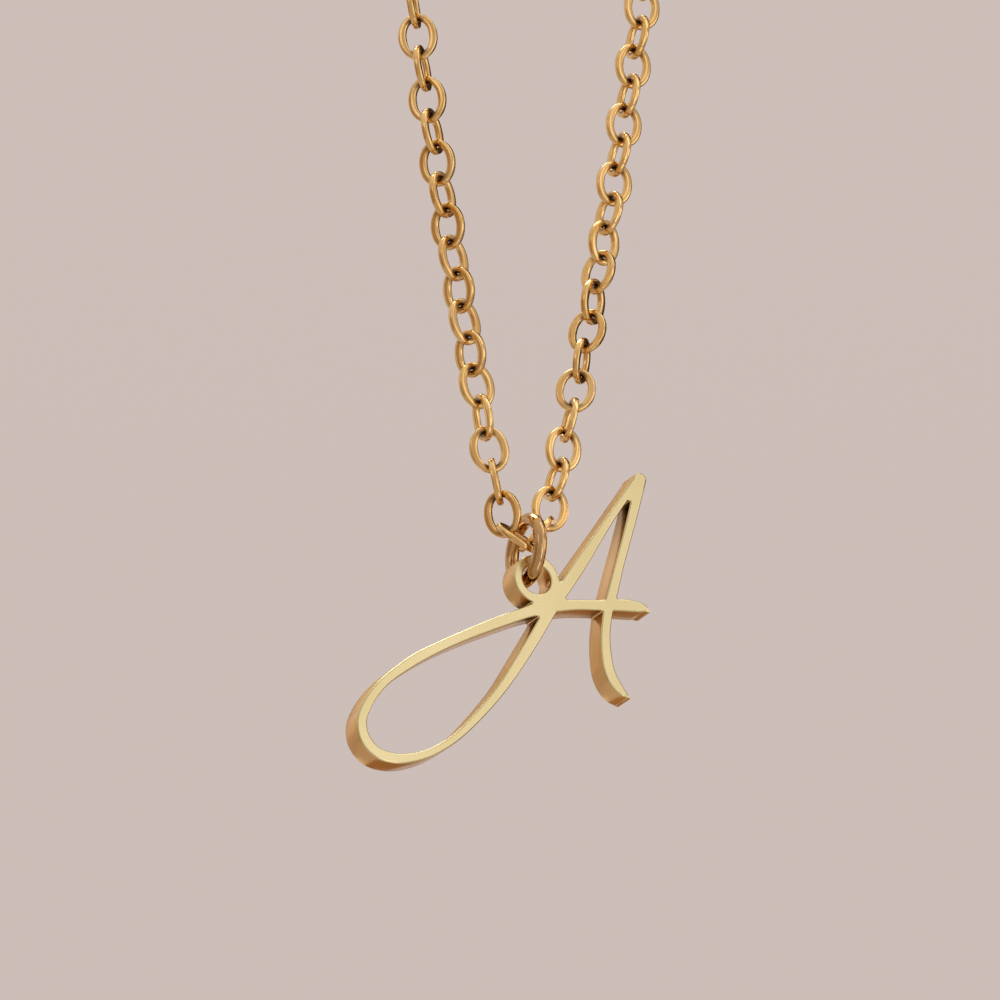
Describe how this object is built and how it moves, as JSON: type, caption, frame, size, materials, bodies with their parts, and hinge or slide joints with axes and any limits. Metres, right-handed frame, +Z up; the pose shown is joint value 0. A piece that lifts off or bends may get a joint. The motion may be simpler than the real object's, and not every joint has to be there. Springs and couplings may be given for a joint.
{
  "type": "initial pendant necklace",
  "caption": "Script letter pendant on a jump ring, hanging from a closed cable chain loop with a plain clasp at the top.",
  "frame": {"origin": "middle of the clasp's underside, at the top of the loop, where the necklace hangs", "axes": "+Z up, the chain and the letter lie in the XZ plane, the letter's face looks towards -Y"},
  "size_m": [0.0492, 0.0052, 0.23],
  "materials": {
    "letter_gold": "satin brushed face and polished sides, gold plated",
    "ring_gold": "polished gold plate",
    "chain_gold": "polished gold plate, links slightly flattened",
    "clasp_gold": "polished gold plate"
  },
  "bodies": {
    "root": {"chain_left": "chain_gold", "chain_right": "chain_gold", "clasp": "clasp_gold"},
    "ring": {"jump_ring": "ring_gold"},
    "letter": {"letter": "letter_gold"}
  },
  "joints": [
    {"name": "ring_swing", "type": "hinge", "parent": "root", "child": "ring", "pos_m": [-0.00021, 0, -0.20831], "axis": [1, 0, 0], "range_deg": [-6, 14]},
    {"name": "letter_swing", "type": "hinge", "parent": "ring", "child": "letter", "pos_m": [-0.00021, 0, -0.21044], "axis": [0, -1, 0], "range_deg": [-40, 14]}
  ]
}
